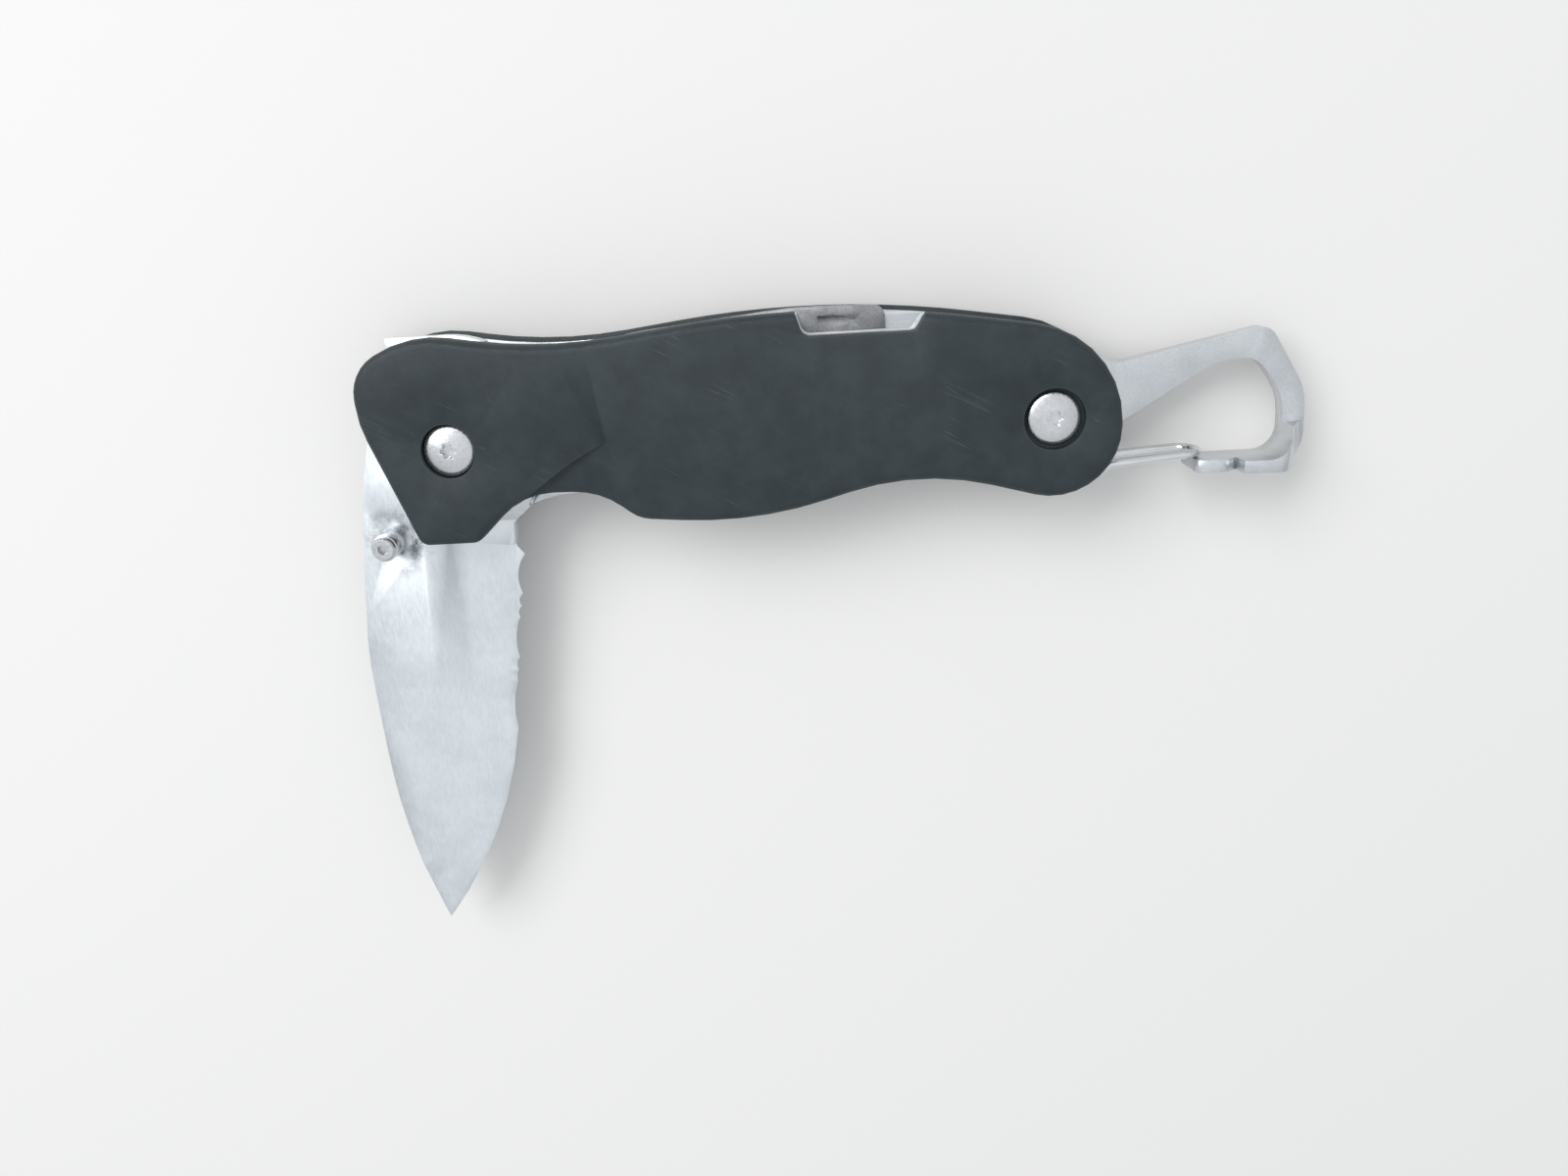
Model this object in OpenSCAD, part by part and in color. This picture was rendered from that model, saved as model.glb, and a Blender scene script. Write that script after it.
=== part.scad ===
// Folding pocket knife with a fixed carabiner hook, a sprung wire gate and a bottle opener.
// It lies on its far side with the blade half open: +X runs from the blade end to the hook,
// +Y to the spine and +Z up. The origin is halfway between the two pivots, on the resting face.

/* [Handle] */
// Distance between the front and the rear pivot
pivot_span = 79.5; // [77:0.5:92]
// Thickness of each moulded scale
scale_t = 2.8; // [2.6:0.1:3.6]
// Height of the spine above the pivot line
spine_h = 15.2; // [15:0.1:17]
// Depth of the belly below the pivot line
belly_d = 11.3; // [11:0.1:14]
// Depth of the waist behind the belly
waist_d = 7.2; // [6.8:0.1:8.5]
// Depth of the finger groove's edge below the pivot line
groove_d = 6.5; // [6:0.1:6.6]
// Depth of the flat foot under the front pivot
foot_d = 12.8; // [12:0.1:13]
// Reach of the nose ahead of the front pivot
nose_l = 11.65; // [11:0.05:11.7]
// Reach of the tail behind the rear pivot
tail_l = 8.9; // [8.8:0.1:11]
// Rounding of the scales' outer edges
edge_r = 1.2; // [0.6:0.1:1.4]
// Length of the spine notch that bares the driver's tip
notch_l = 14.4; // [12:0.1:16]
// Depth of the spine notch
notch_d = 3.1; // [2:0.1:4]
// Deepest cut of the thumb scoop beside the lock bar
scoop_d = 1.6; // [1:0.1:1.8]
// Length of the thumb scoop, from its wall to where it runs out
scoop_l = 13.5; // [11:0.1:15]

/* [Liners] */
// Thickness of the far liner
far_liner_t = 0.8; // [0.6:0.1:1.2]
// Thickness of the divider between the driver and the blade
divider_t = 0.6; // [0.5:0.1:1]
// Thickness of the near liner, which carries the lock bar
lock_liner_t = 1.1; // [0.9:0.1:1.4]
// How far the liners stay inside the scales' edge
liner_inset = 0.5; // [0.3:0.05:0.9]
// Reach of the lock liner below the scale in the finger groove
bar_proud = 0.45; // [0.2:0.05:0.6]
// Length of the lock bar from its tip to its root
bar_l = 33; // [26:0.5:38]
// Width of the slot that frees the lock bar
bar_slot = 0.3; // [0.2:0.05:0.6]
// Depth of the pocket above the lock bar, which is the bar's outward travel
bar_relief = 0.5; // [0.4:0.05:0.8]

/* [Blade] */
// Blade thickness
blade_t = 2.4; // [2:0.1:3]
// Height of the blade's spine above the pivot line, blade open
blade_spine = 13.6; // [12.6:0.1:13.8]
// Depth of the cutting edge below the pivot line, blade open
blade_edge = 7.5; // [7:0.1:7.8]
// Distance of the grind line above the pivot line
grind_line = 4.2; // [3:0.1:6]
// Radius of the curved front of the cutting edge
belly_r = 70; // [60:1:80]
// Thickness left at the cutting edge
edge_t = 0.3; // [0.2:0.05:0.6]
// Width of the polished bevel at the cutting edge
bevel_w = 0.9; // [0.5:0.1:1.4]
// Depth of the large serrations
tooth_d = 0.7; // [0.4:0.05:0.9]
// Radius of the rounded tang behind the pivot
tang_r = 14.7; // [14.2:0.1:15]
// Turn of the blade from fully open to its rest, half open
rest_turn = 84; // [80:1:90]

/* [Thumb stud] */
// Distance of the stud along the blade from the pivot
stud_u = 13.85; // [13.5:0.05:14.2]
// Distance of the stud towards the blade's spine
stud_v = 9.25; // [9:0.05:9.6]
// Diameter of the stud's barrel
stud_d = 3.6; // [3:0.1:3.8]
// Height of the stud above the blade's face
stud_h = 4.3; // [3:0.1:4.8]
// Diameter of the screw that joins the two studs
stud_screw_d = 2; // [1.6:0.1:2.4]

/* [Driver] */
// Thickness of the driver
driver_t = 2.4; // [2:0.1:3]
// Reach of the driver's tip behind the front pivot
driver_l = 58.5; // [52:0.5:60]
// Width of the driver's flat tip
driver_w = 6.4; // [5:0.1:7]
// Radius of the driver's round tang
driver_tang_r = 7.6; // [6.5:0.1:8]
// Angle that the driver swings open through
driver_swing = 160; // [140:1:165]
// Diameter of the driver's stop pin
stop_pin_d = 2; // [1.6:0.1:2.2]

/* [Carabiner] */
// Reach of the hook behind the rear pivot
hook_l = 34.4; // [32:0.2:44]
// Radius of the hook's root round the rear pivot
root_r = 10.1; // [9.6:0.1:10.4]
// Total height of the lip, across the thickness
lip_h = 8; // [7:0.1:9]
// Height of the lower, left part of the lip, which lifts bottle caps
opener_h = 6.2; // [5:0.1:6.6]
// Thickness of the lip
lip_t = 1.7; // [1.4:0.1:2]
// Depth of the lip's inner face below the pivot line
lip_d = 7.2; // [6.8:0.1:7.4]
// Diameter of the pin that keeps the hook from turning
key_pin_d = 2.5; // [2:0.1:3]

/* [Wire gate] */
// Diameter of the gate's wire
wire_d = 1.2; // [1:0.1:1.4]
// Distance between the gate's legs at the hinge
leg_gap = 6.15; // [6:0.05:6.6]
// Distance between the gate's legs at the tip
tip_gap = 5.2; // [4.6:0.1:5.8]
// Length of the gate from its hinge to its tip
gate_l = 16.9; // [15.5:0.1:17.5]

/* [Pivots] */
// Diameter of the pivot barrels
barrel_d = 4.8; // [4:0.1:5.2]
// Diameter of the screw heads
head_d = 6.7; // [6:0.1:6.8]
// Height of the screw heads
head_t = 1.3; // [1:0.1:1.5]
// Diameter of the recess round the front heads
front_recess_d = 7.2; // [7:0.1:8]
// Diameter of the recess round the rear heads
rear_recess_d = 8; // [7.2:0.1:9]
// Diameter of the pivot screws' thread
screw_d = 2.5; // [2:0.1:3]
// Thickness of each pivot washer
washer_t = 0.1; // [0.05:0.05:0.3]
// Outer diameter of the pivot washers
washer_d = 11; // [8:0.5:12]
// Outer diameter of the collar on the rear pivot
collar_d = 9; // [7:0.5:10]
// Radial clearance of what turns on a barrel or a pin
run_gap = 0.03; // [0.02:0.01:0.08]

/* [Hidden] */
$fn = 64;
eps = 0.01;

// Levels of the layers, from the face that the knife lies on
far_liner_z = scale_t;
tool_z = far_liner_z + far_liner_t;
tool_gap = driver_t + 2 * washer_t;
divider_z = tool_z + tool_gap;
gap_z = divider_z + divider_t;
blade_z = gap_z + washer_t;
lock_z = blade_z + blade_t + washer_t;
near_z = lock_z + lock_liner_t;
handle_t = near_z + scale_t;
driver_z = tool_z + washer_t;

// Fixed points of the layout, measured from the front pivot
rear = [pivot_span, 0];
blade_l = pivot_span - collar_d / 2 - 1.1;
tip_v = 3.8;
gate_hinge = rear + [4.1, -7];
key_pin_at = rear - [7, 0];
stop_pin_at = [9.3, -1.3];
ball_at = [13.6, -5.7];
ball_r = 0.6;
ball_proud = 0.07;
slot_y = -4.4;
bar_tip = [9.6, -8.15];
bar_heel = [11.9, slot_y];
bar_lean = (bar_heel - bar_tip) / norm(bar_heel - bar_tip);
pin_gap = 0.02;
recess_t = head_t + 0.2;

steel = "#b9bcc0";
satin = "#c9ccd0";
dark = "#27343b";
bronze = "#b58a55";

// ---------- outlines ----------

function unit(v) = v / norm(v);
function left(v) = [-v.y, v.x];
function wrap(a) = a > 180 ? a - 360 : (a < -180 ? a + 360 : a);

// Points on an arc round c
function arc(c, r, from, to, steps) =
    [for (i = [0:steps]) let(a = from + (to - from) * i / steps) c + r * [cos(a), sin(a)]];

// One corner [x, y, radius] of an outline, as an arc that runs into both its sides
function corner(before, here, after) =
    let(q = [here.x, here.y], a = unit([before.x, before.y] - q), b = unit([after.x, after.y] - q))
    let(half = acos(a * b) / 2, c = q + unit(a + b) * here.z / sin(half))
    let(s = q + a * here.z / tan(half) - c, e = q + b * here.z / tan(half) - c)
    let(from = atan2(s.y, s.x), turn = wrap(atan2(e.y, e.x) - from))
    let(steps = ceil(max(abs(turn) / 12, abs(turn) * PI / 180 * here.z / 4)))
    here.z == 0 ? [q] : arc(c, here.z, from, from + turn, steps);

// A closed outline from its corners
function rounded(c) =
    [for (i = [0:len(c) - 1]) each corner(c[(i + len(c) - 1) % len(c)], c[i], c[(i + 1) % len(c)])];

// Points of a curve as corners that stay sharp
function plain(p) = [for (q = p) [q.x, q.y, 0]];

// A closed outline drawn in by d; its points run anticlockwise
function drawn_in(p, d) =
    [for (i = [0:len(p) - 1])
        let(a = unit(p[i] - p[(i + len(p) - 1) % len(p)]), b = unit(p[(i + 1) % len(p)] - p[i]))
        let(m = unit(left(a) + left(b))) p[i] + m * d / (m * left(a))];

// A smooth curve through a few points
function curve(p, steps) =
    concat([for (i = [0:len(p) - 2], k = [0:steps - 1])
        let(t = k / steps, a = p[max(i - 1, 0)], b = p[i], c = p[i + 1], d = p[min(i + 2, len(p) - 1)])
        (2 * b + (c - a) * t + (2 * a - 5 * b + 4 * c - d) * t * t + (3 * b - a - 3 * c + d) * t * t * t) / 2],
        [p[len(p) - 1]]);

// Belly, waist, tail, spine and nose of the handle, drawn in by d
stretch = pivot_span / 79.5;
function back_corners(d) = [
    [24.4 * stretch + d / 2, -belly_d + 0.7 + d, 5],
    [40 * stretch, -belly_d - 0.7 + d, 54],
    [62.1 * stretch, -waist_d + 1.35 + d, 35 + d],
    [pivot_span + tail_l - d, -waist_d - 6 + d * 1.3, 8.9 - d],
    [pivot_span + tail_l - d, 10.3 - d * 0.8, 13.3 - d],
    [50.3 * stretch, spine_h + 1.45 - d, 140],
    [13.6 * stretch, spine_h - 2.9 - d, 65],
    [-3.6, spine_h + 0.2 - d, 14.5],
    [-nose_l + d, 11 - d * 0.6, 6 - d],
    [-nose_l + d, 4.1, 15]
];

scale_outline = rounded(concat([
    [-5.5, -foot_d, 1.6],
    [2.2, -foot_d, 2.2],
    [8.9, -groove_d, 10.4],
    [19.4, -groove_d, 10.4]
], back_corners(0)));

// The liners stop short of the foot, stand proud in the finger groove and fill the rest
liner_outline = rounded(concat([
    [-5.9, -10.25, 1.2],
    [7.3, -10.25, 0.4],
    [9.6, -8.15, 0.3],
    [13.6, -groove_d - bar_proud, 14],
    [20.6, -groove_d - bar_proud, 8]
], back_corners(liner_inset)));

// ---------- helpers for the solids ----------

module at_front() {
    translate([-pivot_span / 2, 0, 0]) children();
}

// The border of a plate, whose upper edge is rounded
module edge_band(outline, t, r, wide) {
    arcs = 3;
    levels = concat([[wide, 0], [0, 0]],
        [for (i = [0:arcs]) [r * (1 - cos(90 * i / arcs)), t - r + r * sin(90 * i / arcs)]], [[wide, t]]);
    n = len(outline);
    m = len(levels);
    rings = [for (l = levels) each [for (p = drawn_in(outline, l[0])) [p.x, p.y, l[1]]]];
    sides = [for (k = [0:m - 1], i = [0:n - 1])
        let(u = (k + 1) % m) [k * n + i, u * n + i, u * n + (i + 1) % n, k * n + (i + 1) % n]];
    polyhedron(rings, sides);
}

// A plate with a flat underside and a rounded upper edge: its border, and a true prism inside it
module rounded_plate(outline, t, r) {
    edge_band(outline, t, r, r + 0.3);
    linear_extrude(t) polygon(drawn_in(outline, r + 0.1));
}

module bore(at, d, z = -1, t = 40) {
    translate([at.x, at.y, z]) cylinder(d = d, h = t);
}

// A hole for a barrel that widens at level z to take the head
module stepped_hole(at, head, z) {
    r = barrel_d / 2 + pin_gap;
    translate([at.x, at.y, z]) rotate_extrude()
        polygon([[0, -20], [r, -20], [r, 0], [head / 2, 0], [head / 2, 5], [0, 5]]);
}

// Room for the two pivots through a scale that lies with its recesses up
module pivot_holes(z) {
    stepped_hole([0, 0], front_recess_d, z);
    stepped_hole(rear, rear_recess_d, z);
}

// The slice of a circle round the gate's hinge that the gate's legs sweep through
module gate_sweep(z, t) {
    reach = 12;
    translate([gate_hinge.x, gate_hinge.y, z]) {
        cylinder(r = 1.5, h = t);
        linear_extrude(t) polygon(concat([[-1.2, -0.6]], arc([0, 0], reach, -60, 42, 6)));
    }
}

// The cut in the spine that bares the driver's tip
module spine_notch(z, t) {
    end = driver_l + 3.4;
    low = spine_h - notch_d;
    translate([0, 0, z]) linear_extrude(t) polygon(rounded([
        [end - notch_l, low, 1.4],
        [end, low, 1],
        [end + 2.6, spine_h + 0.8, 0],
        [end + 2.6, spine_h + 4, 0],
        [end - notch_l - 2, spine_h + 4, 0]
    ]));
}

// A liner without its special cuts
module liner_plate(z, t) {
    difference() {
        translate([0, 0, z]) linear_extrude(t) polygon(liner_outline);
        bore([0, 0], barrel_d + 2 * pin_gap);
        bore(rear, barrel_d + 2 * pin_gap);
    }
}

// ---------- scales ----------

// The hollow beside the finger groove: a wide round cut that ends in a slanting wall
module thumb_scoop() {
    r = (scoop_l * scoop_l + scoop_d * scoop_d) / (2 * scoop_d);
    runout = [21.4, 0.3];
    slant = 110;
    floor_line = arc([scoop_l, r - scoop_d], r, -90 - asin(scoop_l * 1.08 / r), -90 + asin(scoop_l * 0.9 / r), 10);
    intersection() {
        translate([0, 0, near_z + 0.5]) linear_extrude(scale_t) polygon(concat(
            curve([[7.5, -8.3], [10.2, -6.4], [14.2, -3.6], [18, -1.3], [22, 0.6]], 3),
            [[34, 6], [34, -16], [7.5, -16]]));
        translate([runout.x, runout.y, handle_t]) rotate([0, 0, slant]) rotate([90, 0, 90])
            translate([0, 0, -40]) linear_extrude(80)
            polygon(concat(floor_line, [[scoop_l * 1.9, 4], [-scoop_l * 0.08, 4]]));
    }
}

module near_scale() {
    color(dark) at_front() difference() {
        translate([0, 0, near_z]) rounded_plate(scale_outline, scale_t, edge_r);
        pivot_holes(handle_t - recess_t);
        thumb_scoop();
        spine_notch(near_z - 1, scale_t + 2);
        bar_pocket();
    }
}

// Room over the lock bar, so that a thumb can press it past flush
module bar_pocket() {
    translate([0, 0, near_z - 1]) linear_extrude(bar_relief + 1) polygon(rounded([
        [8.2, -13, 0],
        [bar_root_x() + 1.5, -13, 0],
        [bar_root_x() + 1.5, slot_y + 0.8, 1],
        [11.6, slot_y + 0.8, 1],
        [8.2, -9.5, 0.5]
    ]));
}

module far_scale() {
    color(dark) at_front() difference() {
        translate([0, 0, scale_t]) mirror([0, 0, 1]) rounded_plate(scale_outline, scale_t, edge_r);
        mirror([0, 0, 1]) pivot_holes(-recess_t);
        gate_sweep(gate_far_z() - wire_d / 2 - 0.15, scale_t);
    }
}

// ---------- liners and lock ----------

function bar_root_x() = 10.8 + bar_l;

// Outline of the lock bar with its own clearance all round its free sides
function bar_corners(g) = [
    [bar_tip.x - g / bar_lean.y, bar_tip.y, 0],
    [bar_tip.x - g / bar_lean.y, -20, 0],
    [bar_root_x(), -20, 0],
    [bar_root_x(), slot_y + g, 0],
    [bar_heel.x - g * (1 - bar_lean.x) / bar_lean.y, slot_y + g, 0.4]
];

module lock_liner() {
    color(steel) at_front() difference() {
        liner_plate(lock_z, lock_liner_t);
        translate([0, 0, lock_z - 1]) linear_extrude(lock_liner_t + 2) polygon(rounded(bar_corners(bar_slot)));
        bore([bar_root_x() - 0.9, slot_y + bar_slot / 2 + 0.2], 1.8);
        spine_notch(lock_z - 1, lock_liner_t + 2);
        gate_sweep(lock_z - 1, lock_liner_t + 2);
    }
}

// The leaf of the near liner that springs behind the tang when the blade is open
module lock_bar() {
    root_gap = 0.04;
    color(satin) at_front() difference() {
        intersection() {
            translate([0, 0, lock_z]) linear_extrude(lock_liner_t) polygon(liner_outline);
            translate([0, 0, lock_z - 1]) linear_extrude(lock_liner_t + 2) polygon(rounded(bar_corners(0)));
        }
        bore(ball_at, 2 * (ball_r + pin_gap));
        bore([bar_root_x() - 0.9, slot_y + bar_slot / 2 + 0.2], 1.8);
        translate([bar_root_x() - root_gap, -30, lock_z - 1]) cube([5, 60, 4]);
    }
}

module detent_ball() {
    color(steel) at_front()
        translate([ball_at.x, ball_at.y, lock_z - ball_proud + ball_r]) sphere(r = ball_r);
}

module divider_liner() {
    color(steel) at_front() difference() {
        liner_plate(divider_z, divider_t);
        bore(stop_pin_at, stop_pin_d + 2 * pin_gap);
        bore(key_pin_at, key_pin_d + 2 * pin_gap);
        bore(gate_hinge, wire_d + 2 * run_gap);
        spine_notch(divider_z - 1, divider_t + 2);
    }
}

module far_liner() {
    color(steel) at_front() difference() {
        liner_plate(far_liner_z, far_liner_t);
        bore(stop_pin_at, stop_pin_d + 2 * pin_gap);
        bore(key_pin_at, key_pin_d + 2 * pin_gap);
        gate_sweep(far_liner_z - 1, far_liner_t + 2);
    }
}

// ---------- blade ----------
// The blade is drawn open: x runs from the pivot to the tip and y to the spine.

belly_c = [blade_l - sqrt(pow(belly_r, 2) - pow(belly_r - blade_edge - tip_v, 2)), belly_r - blade_edge];
tip_a = atan2(tip_v - belly_c.y, blade_l - belly_c.x);
// Large and small serrations, as [start, end]
teeth = [[15.5, 20.9], [21, 22.7], [22.8, 24.5], [24.6, 30.6], [30.7, 32.4], [32.5, 34.2], [34.3, 41.2]];

blade_outline = rounded(concat(
    [
        [blade_l - 16.3, 10.4, 90],
        [30, blade_spine + 0.2, 60],
        [7.4, blade_spine - 0.4, 30],
        [-2.2, blade_spine - 1.9, 20],
        [-12.2, 8.65, 0.6],
        [-13.9, 9.15, 0.4]
    ],
    plain(arc([0, 0], tang_r, 170, 196, 5)),
    [
        [-10.8, -4.5, 0.3],
        [-9.5, -8.3, 0.4]
    ],
    plain(arc([0, 0], tang_r - 0.4, 223, 292, 8)),
    plain(arc([0, 0], tang_r - 2.15, 306, 320, 3)),
    [
        [10.2, -blade_edge - 0.1, 0.3],
        [13.7, -blade_edge - 0.1, 1],
        [15.4, -blade_edge - 1.7, 0.1],
        [15.9, -blade_edge - 1.2, 0]
    ],
    plain(arc(belly_c, belly_r, -90, tip_a, 7))
));

// Section of what one grind takes off, as [distance from the belly's centre, height above mid-plane]
function grind_section() =
    let(top = belly_c.y - grind_line, half = blade_t / 2, low = edge_t / 2 + 0.12)
    let(depth = belly_r - top - bevel_w)
    concat(
        [for (i = [4:-1:0]) let(k = i / 4) [top + depth * k, half - (half - low) * sin(90 * k)]],
        [[top, half + 1], [belly_r + 4, half + 1], [belly_r + 4, 0.04], [belly_r + 0.1, 0.04]]);

// The grind's stations: straight from the ricasso to the belly, then round the belly past the tip
module grind() {
    start = 13.4;
    section = grind_section();
    n = len(section);
    turns = [for (i = [0:9]) (tip_a + 90 + 12) * i / 9];
    rings = concat(
        [for (p = section) [start, belly_c.y - p.x, p.y]],
        [for (a = turns) each [for (p = section) [belly_c.x + p.x * sin(a), belly_c.y - p.x * cos(a), p.y]]]);
    sides = [for (k = [0:len(turns) - 1], i = [0:n - 1])
        [k * n + i, (k + 1) * n + i, (k + 1) * n + (i + 1) % n, k * n + (i + 1) % n]];
    polyhedron(rings, concat(sides,
        [[for (i = [0:n - 1]) i]], [[for (i = [n - 1:-1:0]) len(turns) * n + i]]));
}

module grinds() {
    grind();
    mirror([0, 0, 1]) grind();
}

// The thinned back of the point
module swedge() {
    tilt = 8;
    for (side = [0, 1]) mirror([0, 0, side])
        translate([35.5, blade_spine - 0.2, blade_t / 2]) rotate([0, 0, -18.9]) rotate([-tilt, 0, 0])
        translate([-20, 0, 0]) cube([80, 20, 3]);
}

// One serration, ground from the near side
module tooth(from, to, depth) {
    tilt = 22;
    rise = depth * sin(tilt);
    r = (pow((to - from) / 2, 2) + rise * rise) / (2 * rise);
    middle = (from + to) / 2;
    base = -blade_edge - 1.35 + (middle - 15.9) * 1.35 / (belly_c.x - 15.9);
    translate([middle, base + depth, -edge_t / 2]) rotate([90 + tilt, 0, 0]) translate([0, r, 0])
        cylinder(r = r, h = 8, center = true, $fn = 180);
}

module serrations() {
    for (t = teeth) {
        large = t[1] - t[0] > 3;
        tooth(t[0], t[1], large ? tooth_d : tooth_d / 2);
    }
}

module in_blade_pose() {
    translate([0, 0, blade_z + blade_t / 2]) rotate([0, 0, rest_turn]) mirror([1, 0, 0]) children();
}

module blade() {
    color(satin) at_front() in_blade_pose() difference() {
        translate([0, 0, -blade_t / 2]) linear_extrude(blade_t) polygon(blade_outline);
        translate([0, 0, -5]) cylinder(d = barrel_d + 2 * run_gap, h = 10);
        translate([stud_u, stud_v, -5]) cylinder(d = stud_screw_d + 2 * pin_gap, h = 10);
        // the dimple that the detent ball drops in when the blade is folded
        translate([ball_at.x, -ball_at.y, blade_t / 2 - 0.25]) cylinder(d = 1, h = 1);
        grinds();
        swedge();
        serrations();
    }
}

// Barrel of a thumb stud, standing on z = 0
module stud_barrel() {
    groove = 0.35;
    difference() {
        union() {
            cylinder(d = stud_d, h = stud_h - groove * 2);
            cylinder(d = stud_d - 2 * groove, h = stud_h - groove);
            translate([0, 0, stud_h - groove * 1.2]) cylinder(d1 = stud_d - 0.2, d2 = stud_d - 0.8, h = groove * 1.2);
        }
        translate([0, 0, stud_h - 1]) cylinder(d = 1.5, h = 2, $fn = 6);
    }
}

module thumb_stud_near() {
    color(steel) at_front() in_blade_pose() translate([stud_u, stud_v, 0]) {
        translate([0, 0, blade_t / 2]) stud_barrel();
        translate([0, 0, -blade_t / 2 - stud_h / 2]) cylinder(d = stud_screw_d, h = blade_t + stud_h / 2 + 0.5);
    }
}

module thumb_stud_far() {
    color(steel) at_front() in_blade_pose() translate([stud_u, stud_v, -blade_t / 2]) difference() {
        mirror([0, 0, 1]) stud_barrel();
        translate([0, 0, -stud_h / 2 - 0.1]) cylinder(d = stud_screw_d + 2 * pin_gap, h = stud_h);
    }
}

// ---------- washers, barrels and screws ----------

module washer(z) {
    color(bronze) at_front() translate([0, 0, z]) difference() {
        cylinder(d = washer_d, h = washer_t);
        translate([0, 0, -1]) cylinder(d = barrel_d + 2 * run_gap, h = 2);
    }
}

module blade_washer_near() washer(lock_z - washer_t);
module blade_washer_far() washer(gap_z);
module driver_washer_near() washer(divider_z - washer_t);
module driver_washer_far() washer(tool_z);

// A domed head with a six-lobed socket, standing on z = 0
module domed_head() {
    dome = 0.6;
    dome_r = (head_d * head_d / 4 + dome * dome) / (2 * dome);
    socket = 0.8;
    difference() {
        intersection() {
            cylinder(d = head_d, h = head_t);
            translate([0, 0, head_t - dome_r]) sphere(r = dome_r, $fn = 180);
        }
        translate([0, 0, head_t - 0.9]) {
            cylinder(r = socket, h = 2);
            for (a = [0:60:300]) rotate([0, 0, a]) translate([socket, 0, 0]) cylinder(r = 0.3, h = 2, $fn = 24);
        }
    }
}

module barrel(at, colour) {
    seat = recess_t;
    tube = handle_t - 2 * recess_t - 0.1;
    color(colour) at_front() translate([at.x, at.y, 0]) difference() {
        union() {
            translate([0, 0, seat]) mirror([0, 0, 1]) domed_head();
            translate([0, 0, seat - eps]) cylinder(d = barrel_d, h = tube + eps);
        }
        translate([0, 0, seat + tube / 3]) cylinder(d = screw_d + 2 * pin_gap, h = tube);
    }
}

module head_screw(at, colour) {
    seat = handle_t - recess_t;
    tube = handle_t - 2 * recess_t - 0.1;
    color(colour) at_front() translate([at.x, at.y, seat]) {
        domed_head();
        translate([0, 0, -tube * 0.6]) cylinder(d = screw_d, h = tube * 0.6 + 0.1);
    }
}

module front_barrel() barrel([0, 0], steel);
module rear_barrel() barrel(rear, steel);
module front_screw() head_screw([0, 0], satin);
module rear_screw() head_screw(rear, satin);

module rear_collar() {
    color(steel) at_front() translate([rear.x, rear.y, gap_z]) difference() {
        cylinder(d = collar_d, h = blade_t + 2 * washer_t);
        translate([0, 0, -1]) cylinder(d = barrel_d + 2 * pin_gap, h = 10);
    }
}

// ---------- driver ----------

driver_back = spine_h + 0.15;
driver_low = driver_back - driver_w;
driver_lug_r = 9.8;
stop_a = atan2(stop_pin_at.y, stop_pin_at.x);
stop_half = asin((stop_pin_d / 2 + 0.1) / norm(stop_pin_at));
lug_a = 360 + stop_a - stop_half - driver_swing;

// Shank and flat tip, then the round tang with the lug that meets the stop pin when the driver is open
driver_outline = rounded(concat(
    [
        [12, 12 * sin(stop_a + stop_half), 1.5],
        [24, driver_low - 1.6, 12],
        [driver_l - 10, driver_low - 0.3, 8],
        [driver_l, driver_low, 0.5],
        [driver_l, driver_back - 0.25, 1.6],
        [46, driver_back + 0.05, 60],
        [24, driver_back - 2.1, 30],
        [10, 9.8, 12]
    ],
    plain(arc([0, 0], driver_tang_r, 93, lug_a - 28, 6)),
    plain(arc([0, 0], driver_lug_r, lug_a - 28, lug_a - 0.6, 3)),
    plain(arc([0, 0], driver_tang_r, lug_a - 0.6, 360 + stop_a + stop_half, 16))
));

module driver() {
    color("#8d8f92") at_front() translate([0, 0, driver_z]) difference() {
        linear_extrude(driver_t) polygon(driver_outline);
        bore([0, 0], barrel_d + 2 * run_gap);
        // nail nick in the bared face
        translate([driver_l - 9, driver_back - 1.9, driver_t + 0.7]) rotate([0, 90, 0]) cylinder(r = 1, h = 5);
        // both faces taper to the flat tip
        translate([driver_l - 7, driver_low - 5, driver_t]) rotate([0, 5, 0]) cube([12, 20, 2]);
        translate([driver_l - 7, driver_low - 5, 0]) rotate([0, -5, 0]) translate([0, 0, -2]) cube([12, 20, 2]);
    }
}

module driver_stop_pin() {
    color(steel) at_front() translate([stop_pin_at.x, stop_pin_at.y, far_liner_z + 0.1])
        cylinder(d = stop_pin_d, h = gap_z - far_liner_z - 0.2);
}

// ---------- carabiner ----------

hook_x = pivot_span + hook_l;
lip_x = hook_x - 15.3;
plate_t = tool_gap;
root_bottom = 235;

carabiner_outline = rounded(concat(
    [
        [lip_x, -lip_d, 0.4],
        [lip_x, -lip_d - lip_t, 0.6],
        [hook_x, -lip_d - lip_t, 4.2],
        [hook_x, 0.9, 8],
        [hook_x - 5.15, 9.75, 2.2],
        [pivot_span + 8.9, 5.65, 2.4]
    ],
    plain(arc(rear, root_r, 46, root_bottom, 12)),
    plain(arc(gate_hinge, 1.75, -125, -20, 5)),
    [
        [pivot_span + 8.1, -3.6, 1],
        [pivot_span + 10, -2.1, 0.6],
        [hook_x - 11.55, 5.65, 9],
        [hook_x - 6.5, 5.65, 4],
        [hook_x - 2.85, 0.2, 8],
        [hook_x - 2.85, -lip_d, 3.2]
    ]
));

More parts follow.
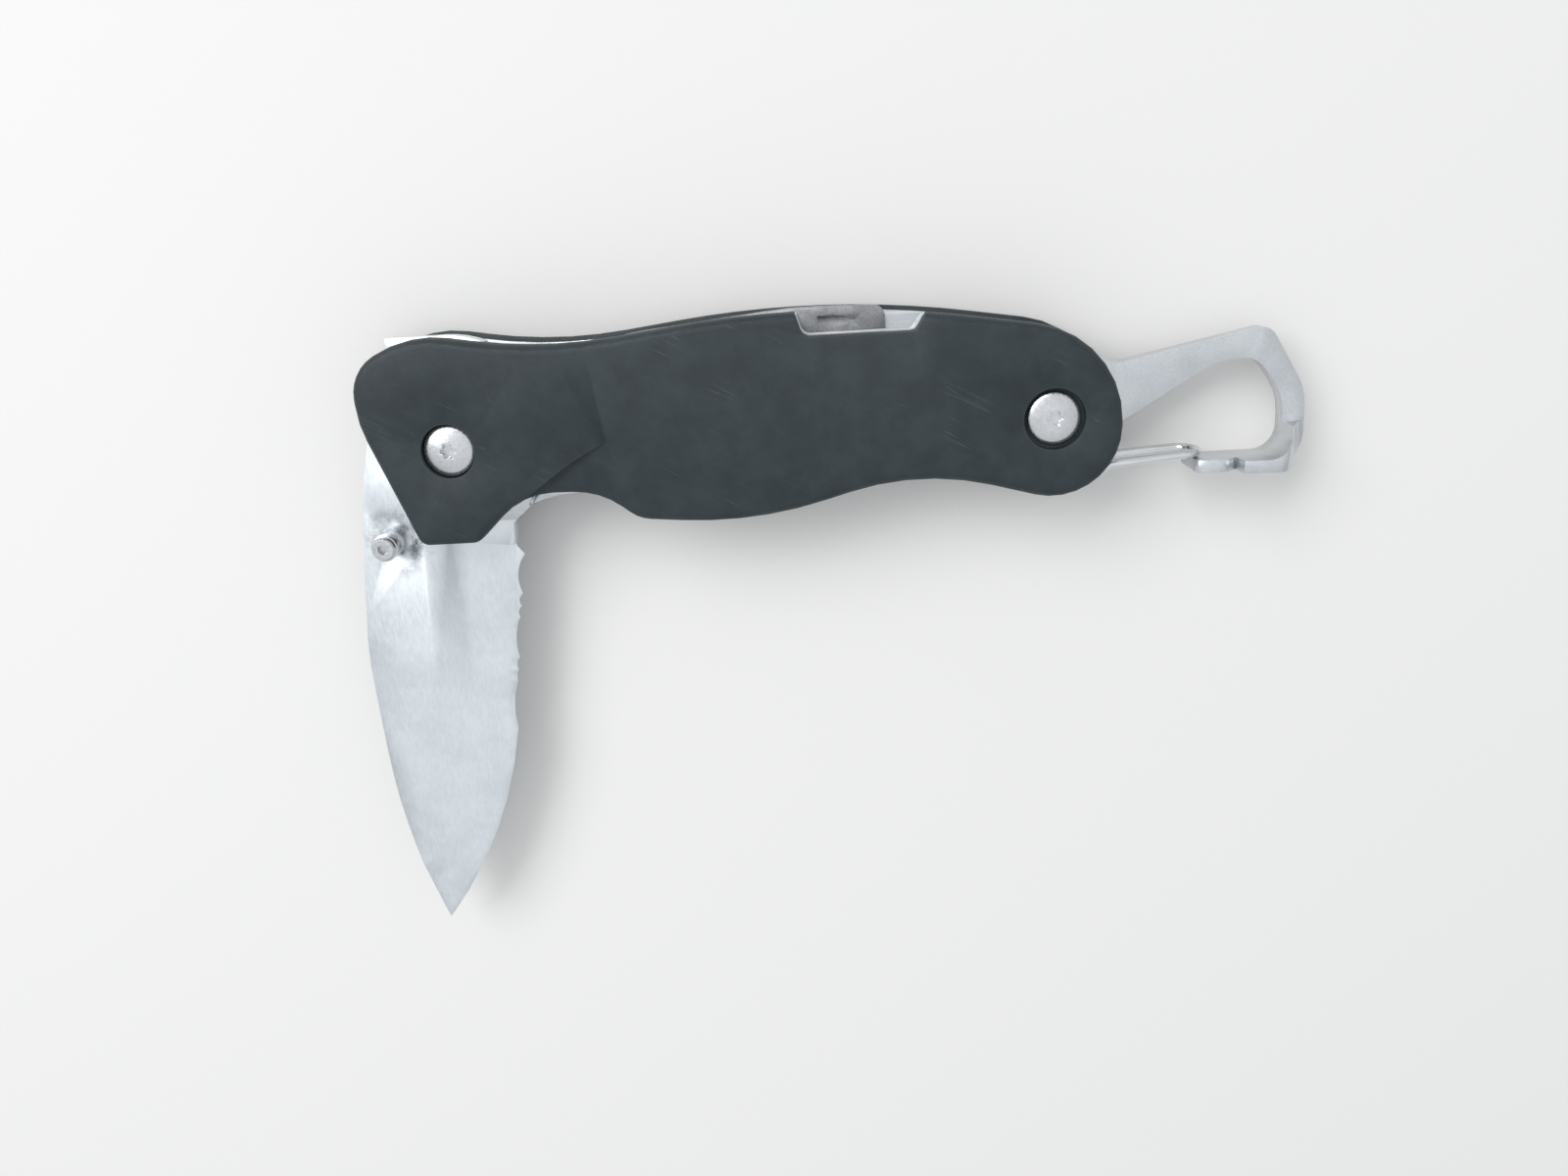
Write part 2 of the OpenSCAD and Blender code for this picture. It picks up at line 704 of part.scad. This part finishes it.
// Side view of the lip: low and round at its free end, a hook's step, then full height
module lip_profile() {
    polygon(concat(
        [[lip_x - 1, -1], [lip_x - 1, opener_h - 3]],
        [[lip_x, opener_h - 1.6]],
        curve([[lip_x + 0.1, opener_h - 1], [lip_x + 0.9, opener_h - 0.1], [lip_x + 3.6, opener_h],
            [lip_x + 5.2, opener_h - 0.7], [lip_x + 5.8, opener_h - 1.5]], 3),
        curve([[lip_x + 6, lip_h - 0.5], [lip_x + 6.5, lip_h], [hook_x - 4.4, lip_h],
            [hook_x - 2.9, lip_h - 1.2], [hook_x - 1.7, plate_t + 1.7], [hook_x - 0.6, plate_t + 0.3],
            [hook_x + 1, plate_t]], 3),
        [[hook_x + 1, -1]]));
}

module carabiner() {
    color(steel) at_front() translate([0, 0, tool_z]) difference() {
        union() {
            linear_extrude(plate_t) polygon(carabiner_outline);
            intersection() {
                linear_extrude(lip_h) polygon(rounded([
                    [lip_x, -lip_d, 0.4],
                    [lip_x, -lip_d - lip_t, 0.6],
                    [hook_x, -lip_d - lip_t, 4.2],
                    [hook_x, -lip_d + 4, 0],
                    [hook_x - 2.85, -lip_d + 4, 0],
                    [hook_x - 2.85, -lip_d, 3.2]
                ]));
                translate([0, 20, 0]) rotate([90, 0, 0]) linear_extrude(40) lip_profile();
            }
        }
        bore(rear, barrel_d + 2 * pin_gap);
        bore(key_pin_at, key_pin_d + 2 * pin_gap);
        bore(gate_hinge, wire_d + 2 * run_gap);
    }
}

module carabiner_key_pin() {
    color(steel) at_front() translate([key_pin_at.x, key_pin_at.y, far_liner_z + 0.1])
        cylinder(d = key_pin_d, h = gap_z - far_liner_z - 0.2);
}

// ---------- wire gate ----------

function gate_far_z() = tool_z - wire_d / 2 - 0.15;

// Wire swept along a path that never runs along Y
module swept_wire(path, d) {
    sides = 16;
    n = len(path);
    rings = [for (i = [0:n - 1])
        let(t = unit(path[min(i + 1, n - 1)] - path[max(i - 1, 0)]))
        let(b = unit(cross(t, [0, 1, 0])), m = cross(b, t))
        each [for (k = [0:sides - 1]) path[i] + d / 2 * (cos(360 * k / sides) * m + sin(360 * k / sides) * b)]];
    walls = [for (i = [0:n - 2], k = [0:sides - 1])
        let(a = i * sides + k, b = i * sides + (k + 1) % sides)
        each [[a, a + sides, b], [b, a + sides, b + sides]]];
    polyhedron(rings, concat(walls,
        [[for (k = [0:sides - 1]) k]], [[for (k = [sides - 1:-1:0]) (n - 1) * sides + k]]));
}

// One leg's path from the inside of its hinge pin to the bend at the tip
function leg_path(side, z, tip_z, pin_z, end_x, end_y) =
    let(h = gate_hinge, r = 0.9)
    concat(
        [[h.x, h.y, pin_z]],
        [for (a = [0:30:90]) [h.x + r * (1 - cos(a)), h.y - 0.35 * (1 - cos(a)), z - side * r * (1 - sin(a))]],
        [[h.x + 2, h.y - 1, z], [h.x + 2.6, h.y - 1.1, z], [h.x + 3.5, h.y - 0.55, z], [h.x + 4.1, h.y - 0.2, z]],
        [[end_x, end_y, tip_z]]);

module wire_gate() {
    far_z = gate_far_z();
    middle = far_z + leg_gap / 2;
    tip_r = tip_gap / 2;
    tip_y = -lip_d + wire_d / 2 + 0.1;
    bend_x = gate_hinge.x + gate_l - wire_d / 2 - tip_r;
    pin_in = 0.3;
    near_leg = leg_path(1, middle + leg_gap / 2, middle + tip_r, divider_z - 1, bend_x, tip_y);
    far_leg = leg_path(-1, middle - leg_gap / 2, middle - tip_r, tool_z + 1, bend_x, tip_y);
    bend = [for (a = [75:-15:-75]) [bend_x + tip_r * cos(a), tip_y, middle + tip_r * sin(a)]];
    color(satin) at_front() {
        swept_wire(concat(near_leg, bend, [for (i = [len(far_leg) - 1:-1:0]) far_leg[i]]), wire_d - 0.02);
        translate([gate_hinge.x, gate_hinge.y, divider_z - 1.15]) cylinder(d = wire_d, h = 1.15 + divider_t + pin_in);
        translate([gate_hinge.x, gate_hinge.y, tool_z + 1.15]) mirror([0, 0, 1]) cylinder(d = wire_d, h = 1.15);
    }
}

near_scale();
far_scale();
lock_liner();
lock_bar();
detent_ball();
divider_liner();
far_liner();
blade();
blade_washer_near();
blade_washer_far();
thumb_stud_near();
thumb_stud_far();
front_barrel();
front_screw();
rear_barrel();
rear_screw();
rear_collar();
driver();
driver_washer_near();
driver_washer_far();
driver_stop_pin();
carabiner();
carabiner_key_pin();
wire_gate();
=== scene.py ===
import math

import bpy
from mathutils import Matrix, Vector

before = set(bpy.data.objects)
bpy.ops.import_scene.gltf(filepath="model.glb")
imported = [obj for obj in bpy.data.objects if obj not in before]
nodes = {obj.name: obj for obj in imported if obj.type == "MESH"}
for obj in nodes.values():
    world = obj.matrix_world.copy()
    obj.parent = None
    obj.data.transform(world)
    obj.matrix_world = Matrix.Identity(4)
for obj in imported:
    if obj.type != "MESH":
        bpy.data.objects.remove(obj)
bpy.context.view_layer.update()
mm = 0.001


# ---- Camera, floor and light ----
# The knife lies on a pale table top, seen from above and a little towards the blade.
# One broad soft lamp stands for a window, and the room fills in the rest.
def put_in_scene(data, name):
    thing = bpy.data.objects.new(name, data)
    bpy.context.scene.collection.objects.link(thing)
    return thing


camera = put_in_scene(bpy.data.cameras.new("camera"), "camera")
camera.data.lens = 27.2
camera.data.sensor_width = 36
camera.data.clip_start = 0.005
right = Vector((0.9979, -0.0591, -0.0276)).normalized()
back = Vector((0.0440, 0.2978, 0.9536)).normalized()
up = back.cross(right).normalized()
right = up.cross(back)
turned = Matrix((right, up, back)).transposed().to_4x4()
camera.matrix_world = Matrix.Translation((10.54 * mm, 26.81 * mm, 166.3 * mm)) @ turned
bpy.context.scene.camera = camera
bpy.context.scene.view_settings.view_transform = "Standard"


def new_material(name):
    """A material's node tree and its Principled shader."""
    material = bpy.data.materials.new(name)
    material.use_nodes = True
    return material, material.node_tree, material.node_tree.nodes["Principled BSDF"]


def add_node(tree, kind, **values):
    """A node with its plain settings, and its sockets set by name or number."""
    node = tree.nodes.new(kind)
    for key, value in values.items():
        if key == "sockets":
            for socket, number in value.items():
                node.inputs[socket].default_value = number
        else:
            setattr(node, key, value)
    return node


table_top, tree, shader = new_material("table_top")
shader.inputs["Base Color"].default_value = (0.80, 0.79, 0.77, 1)
shader.inputs["Roughness"].default_value = 0.75
half = 1.5
floor_mesh = bpy.data.meshes.new("floor")
corners = [(-half, -half, 0), (half, -half, 0), (half, half, 0), (-half, half, 0)]
floor_mesh.from_pydata(corners, [], [(0, 1, 2, 3)])
floor_mesh.materials.append(table_top)
floor = put_in_scene(floor_mesh, "floor")
floor.location.z = -0.01 * mm

window = put_in_scene(bpy.data.lights.new("window", "AREA"), "window")
window.data.shape = "RECTANGLE"
window.data.size = 0.9
window.data.size_y = 0.6
window.data.energy = 7.5
window.location = (-0.55, 0.55, 0.75)
window.rotation_euler = (Vector((0, 0, 0)) - window.location).to_track_quat("-Z", "Y").to_euler()

room = bpy.data.worlds.new("room")
bpy.context.scene.world = room
room.use_nodes = True
tree = room.node_tree
background = tree.nodes["Background"]
place = add_node(tree, "ShaderNodeTexCoord")
height = add_node(tree, "ShaderNodeSeparateXYZ")
fade = add_node(tree, "ShaderNodeMapRange",
                sockets={"From Min": -0.1, "From Max": 1.0, "To Min": 0.42, "To Max": 0.9})
tree.links.new(place.outputs["Generated"], height.inputs[0])
tree.links.new(height.outputs["Z"], fade.inputs["Value"])
tree.links.new(fade.outputs["Result"], background.inputs["Strength"])
background.inputs["Color"].default_value = (0.94, 0.97, 1.0, 1)


# ---- Moulded scales ----
# Two handle scales of glass-filled nylon, moulded in a fine spark-eroded texture and screwed
# over the liners. Their edges are painted lighter, partly as wear and partly as a painted highlight;
# pockets have left faint pale scratches.
def node_group(name, inputs, outputs):
    """An empty shader group with named number inputs and named outputs."""
    group = bpy.data.node_groups.new(name, "ShaderNodeTree")
    for label, value in inputs.items():
        socket = group.interface.new_socket(label, in_out="INPUT", socket_type="NodeSocketFloat")
        socket.default_value = value
    for label, kind in outputs.items():
        group.interface.new_socket(label, in_out="OUTPUT", socket_type=kind)
    return group, group.nodes.new("NodeGroupInput"), group.nodes.new("NodeGroupOutput")


def link(tree, source, target):
    tree.links.new(source, target)


def math_node(tree, operation, a, b=None):
    """A maths node; a and b are sockets or numbers."""
    node = add_node(tree, "ShaderNodeMath", operation=operation)
    for socket, value in zip(node.inputs, (a, b)):
        if value is None:
            continue
        if isinstance(value, (int, float)):
            socket.default_value = value
        else:
            link(tree, value, socket)
    return node.outputs[0]


def build_edge_wear_and_highlight():
    """Mask of the edges that wear and a painted edge highlight lighten: 1 on an edge, 0 on a flat."""
    group, given, out = node_group("edge_wear_and_highlight", {"Width": 0.0004, "Sharpness": 3.0, "Patchiness": 900.0},
                                   {"Mask": "NodeSocketFloat"})
    rounded = add_node(group, "ShaderNodeBevel", samples=6)
    link(group, given.outputs["Width"], rounded.inputs["Radius"])
    surface = add_node(group, "ShaderNodeNewGeometry")
    agreement = add_node(group, "ShaderNodeVectorMath", operation="DOT_PRODUCT")
    link(group, rounded.outputs[0], agreement.inputs[0])
    link(group, surface.outputs["Normal"], agreement.inputs[1])
    turned_off = math_node(group, "SUBTRACT", 1.0, agreement.outputs["Value"])
    bend = math_node(group, "MULTIPLY", turned_off, given.outputs["Sharpness"])
    place = add_node(group, "ShaderNodeTexCoord")
    patches = add_node(group, "ShaderNodeTexNoise", sockets={"Detail": 4.0, "Roughness": 0.6})
    link(group, place.outputs["Object"], patches.inputs["Vector"])
    link(group, given.outputs["Patchiness"], patches.inputs["Scale"])
    uneven = math_node(group, "MULTIPLY", bend, math_node(group, "ADD", patches.outputs[0], 0.35))
    clamp = add_node(group, "ShaderNodeClamp")
    link(group, uneven, clamp.inputs["Value"])
    link(group, clamp.outputs[0], out.inputs["Mask"])
    return group


def build_scratches():
    """Mask of thin straight scratches along one direction."""
    group, given, out = node_group("scratches", {"Angle": 0.0, "Spacing": 900.0, "Length": 0.03, "Amount": 0.5},
                                   {"Mask": "NodeSocketFloat"})
    place = add_node(group, "ShaderNodeTexCoord")
    turn = add_node(group, "ShaderNodeVectorRotate", rotation_type="Z_AXIS")
    link(group, place.outputs["Object"], turn.inputs["Vector"])
    link(group, given.outputs["Angle"], turn.inputs["Angle"])
    stretch = add_node(group, "ShaderNodeCombineXYZ", sockets={"Y": 1.0, "Z": 0.2})
    link(group, given.outputs["Length"], stretch.inputs["X"])
    drawn = add_node(group, "ShaderNodeVectorMath", operation="MULTIPLY")
    link(group, turn.outputs[0], drawn.inputs[0])
    link(group, stretch.outputs[0], drawn.inputs[1])
    lines = add_node(group, "ShaderNodeTexNoise", sockets={"Detail": 2.0, "Roughness": 0.5})
    link(group, drawn.outputs[0], lines.inputs["Vector"])
    link(group, given.outputs["Spacing"], lines.inputs["Scale"])
    ridge = math_node(group, "ABSOLUTE", math_node(group, "SUBTRACT", lines.outputs[0], 0.5))
    thin = add_node(group, "ShaderNodeMapRange",
                    sockets={"From Min": 0.0, "From Max": 0.012, "To Min": 1.0, "To Max": 0.0})
    link(group, ridge, thin.inputs["Value"])
    where = add_node(group, "ShaderNodeTexNoise", sockets={"Scale": 160.0, "Detail": 2.0})
    link(group, place.outputs["Object"], where.inputs["Vector"])
    here = add_node(group, "ShaderNodeMapRange",
                    sockets={"From Min": 0.55, "From Max": 0.7, "To Min": 0.0, "To Max": 1.0})
    link(group, where.outputs[0], here.inputs["Value"])
    faint = math_node(group, "MULTIPLY", thin.outputs[0], here.outputs[0])
    link(group, math_node(group, "MULTIPLY", faint, given.outputs["Amount"]), out.inputs["Mask"])
    return group


edge_wear_and_highlight = build_edge_wear_and_highlight()
scratches = build_scratches()


def use_group(tree, group, **values):
    """A group placed in a material with its own values."""
    node = add_node(tree, "ShaderNodeGroup", node_tree=group)
    for label, value in values.items():
        node.inputs[label].default_value = value
    return node


def mix_colours(tree, mask, base, over):
    """base where mask is 0, over where it is 1; each a socket or a colour."""
    node = add_node(tree, "ShaderNodeMix", data_type="RGBA")
    link(tree, mask, node.inputs[0])
    for socket, value in ((node.inputs[6], base), (node.inputs[7], over)):
        if isinstance(value, tuple):
            socket.default_value = (*value, 1)
        else:
            link(tree, value, socket)
    return node.outputs[2]


def noise(tree, scale, detail=3.0, roughness=0.55, stretch=(1, 1, 1)):
    """Noise on the object's own coordinates, stretched along an axis where that is less than 1."""
    place = add_node(tree, "ShaderNodeTexCoord")
    mapping = add_node(tree, "ShaderNodeMapping", sockets={"Scale": stretch})
    link(tree, place.outputs["Object"], mapping.inputs["Vector"])
    pattern = add_node(tree, "ShaderNodeTexNoise",
                       sockets={"Scale": scale, "Detail": detail, "Roughness": roughness})
    link(tree, mapping.outputs[0], pattern.inputs["Vector"])
    return pattern.outputs[0]


def spread(tree, value, low, high, to_low=0.0, to_high=1.0):
    """value mapped from low..high to to_low..to_high."""
    node = add_node(tree, "ShaderNodeMapRange",
                    sockets={"From Min": low, "From Max": high, "To Min": to_low, "To Max": to_high})
    link(tree, value, node.inputs["Value"])
    return node.outputs[0]


def bump(tree, shader, height, distance, strength=1.0):
    node = add_node(tree, "ShaderNodeBump", sockets={"Strength": strength, "Distance": distance})
    link(tree, height, node.inputs["Height"])
    link(tree, node.outputs[0], shader.inputs["Normal"])


scale_nylon, tree, shader = new_material("scale_nylon")
mottle = spread(tree, noise(tree, 260, 4), 0.35, 0.65)
colour = mix_colours(tree, mottle, (0.011, 0.019, 0.023), (0.020, 0.031, 0.036))
# Edges painted lighter: partly wear, partly a painted highlight on the rounded rim.
edges = use_group(tree, edge_wear_and_highlight, Width=0.7 * mm, Sharpness=2.2)
colour = mix_colours(tree, edges.outputs[0], colour, (0.045, 0.058, 0.066))
marks = use_group(tree, scratches, Angle=0.5, Amount=0.35)
colour = mix_colours(tree, marks.outputs[0], colour, (0.12, 0.14, 0.14))
link(tree, colour, shader.inputs["Base Color"])
grain = noise(tree, 5200, 3, 0.6)
link(tree, spread(tree, grain, 0.3, 0.7, 0.48, 0.66), shader.inputs["Roughness"])
bump(tree, shader, grain, 0.05 * mm, 0.35)


def dress(names, material, soften=0.0, angle=30):
    """Gives CAD nodes a finish, and breaks their sharp edges as tumbling or moulding does."""
    for name in names:
        node = nodes[name]
        node.data.materials.clear()
        node.data.materials.append(material)
        weld = node.modifiers.new("weld", "WELD")
        weld.merge_threshold = 0.001 * mm
        if soften:
            edge = node.modifiers.new("broken_edges", "BEVEL")
            edge.width = soften
            edge.segments = 2
            edge.limit_method = "ANGLE"
            edge.angle_limit = math.radians(angle)
            edge.harden_normals = True
        node.data.shade_smooth()


dress(["near_scale", "far_scale"], scale_nylon, 0.12 * mm)


# ---- Liners and lock bar ----
# Stamped stainless liners under the scales; the near one is slotted so that its leaf springs
# behind the blade. Their edges are painted brighter, partly as sheared metal and partly as a painted
# highlight; their faces are rolled and matt.
def steel(name, light, dark, roughness, grain_scale, stretch, depth):
    """A steel whose grain runs along the axis that stretch shortens."""
    material, tree, shader = new_material(name)
    shader.inputs["Metallic"].default_value = 1.0
    grain = noise(tree, grain_scale, 4, 0.6, stretch)
    cloud = noise(tree, 180, 3)
    half_grain = math_node(tree, "MULTIPLY", grain, 0.5)
    half_cloud = math_node(tree, "MULTIPLY", cloud, 0.5)
    blend = math_node(tree, "ADD", half_grain, half_cloud)
    colour = mix_colours(tree, spread(tree, blend, 0.38, 0.62), dark, light)
    # Edges painted lighter: partly wear, partly a painted highlight.
    edges = use_group(tree, edge_wear_and_highlight, Width=0.12 * mm, Sharpness=3.0)
    colour = mix_colours(tree, edges.outputs[0], colour, tuple(min(1.0, c * 1.15) for c in light))
    link(tree, colour, shader.inputs["Base Color"])
    low, high = roughness
    link(tree, spread(tree, grain, 0.3, 0.7, low, high), shader.inputs["Roughness"])
    bump(tree, shader, grain, depth, 0.4)
    return material


liner_steel = steel("liner_steel", (0.66, 0.68, 0.70), (0.52, 0.54, 0.56), (0.22, 0.38),
                    2400, (0.05, 1, 1), 0.01 * mm)
dress(["lock_liner", "divider_liner", "far_liner", "lock_bar"], liner_steel, 0.06 * mm)


# ---- Blade ----
# Stainless blade, bead-blasted, then hollow-ground, given a polished edge bevel and ground
# with large and small serrations from the near side.
blade_steel = steel("blade_steel", (0.84, 0.88, 0.91), (0.74, 0.78, 0.81), (0.34, 0.46),
                    3000, (1, 0.25, 1), 0.008 * mm)
# Painted shadow of the stud: the flat round it is darkened in patches
tree = blade_steel.node_tree
shader = tree.nodes["Principled BSDF"]
unshaded_colour = shader.inputs["Base Color"].links[0].from_socket
stud_at = sum((Vector(corner) for corner in nodes["thumb_stud_near"].bound_box), Vector()) / 8
blade_top = max(corner[2] for corner in nodes["blade"].bound_box)
place = add_node(tree, "ShaderNodeTexCoord")
reach = add_node(tree, "ShaderNodeVectorMath", operation="DISTANCE")
link(tree, place.outputs["Object"], reach.inputs[0])
stud_edge = 1.8 * mm
stud_shadow_reach = 5.5 * mm
stud_shadow_shift = 0.8 * mm
reach.inputs[1].default_value = (stud_at.x + stud_shadow_shift, stud_at.y, blade_top)
near_stud = spread(tree, reach.outputs["Value"], stud_edge, stud_shadow_reach, 1.0, 0.0)
patchy = spread(tree, noise(tree, 620, 5, 0.65), 0.42, 0.66)
# Painted stud shadow: dark near the stud, fading outwards and patchy.
stud_shadow = math_node(tree, "MULTIPLY", near_stud, patchy)
link(tree, mix_colours(tree, stud_shadow, unshaded_colour, (0.10, 0.11, 0.11)), shader.inputs["Base Color"])
dress(["blade"], blade_steel, 0.08 * mm, 40)


# ---- Thumb studs ----
# Two turned studs, joined by a screw through the blade.
stud_steel = steel("stud_steel", (0.72, 0.73, 0.74), (0.55, 0.56, 0.57), (0.18, 0.3),
                   2600, (1, 1, 0.1), 0.006 * mm)
dress(["thumb_stud_near", "thumb_stud_far"], stud_steel, 0.06 * mm)


# ---- Pivots ----
# Barrels and button-head screws of satin steel clamp the whole stack.
screw_steel = steel("screw_steel", (0.74, 0.75, 0.76), (0.60, 0.61, 0.62), (0.22, 0.36),
                    2600, (1, 1, 1), 0.006 * mm)
dress(["front_barrel", "rear_barrel", "front_screw", "rear_screw", "rear_collar", "driver_stop_pin",
       "carabiner_key_pin", "detent_ball"], screw_steel, 0.06 * mm)
bronze = steel("bronze", (0.62, 0.44, 0.26), (0.50, 0.34, 0.2), (0.3, 0.45), 2000, (1, 1, 1), 0.004 * mm)
dress(["blade_washer_near", "blade_washer_far", "driver_washer_near", "driver_washer_far"], bronze)


# ---- Driver ----
# Flat screwdriver of tumbled steel, folded in the spine.
driver_steel = steel("driver_steel", (0.44, 0.44, 0.45), (0.26, 0.26, 0.27), (0.28, 0.5),
                     3500, (1, 1, 1), 0.02 * mm)
dress(["driver"], driver_steel, 0.1 * mm)


# ---- Carabiner hook ----
# Blanked from thick stainless plate, with the lip bent up for lifting bottle caps.
hook_steel = steel("hook_steel", (0.72, 0.74, 0.76), (0.60, 0.62, 0.64), (0.28, 0.42),
                   3200, (1, 1, 1), 0.01 * mm)
dress(["carabiner"], hook_steel, 0.15 * mm)


# ---- Wire gate ----
# Spring wire bent to a long U, its ends hooked into the root of the carabiner.
wire_steel = steel("wire_steel", (0.80, 0.81, 0.82), (0.68, 0.69, 0.70), (0.12, 0.24),
                   2600, (0.05, 1, 1), 0.004 * mm)
dress(["wire_gate"], wire_steel)
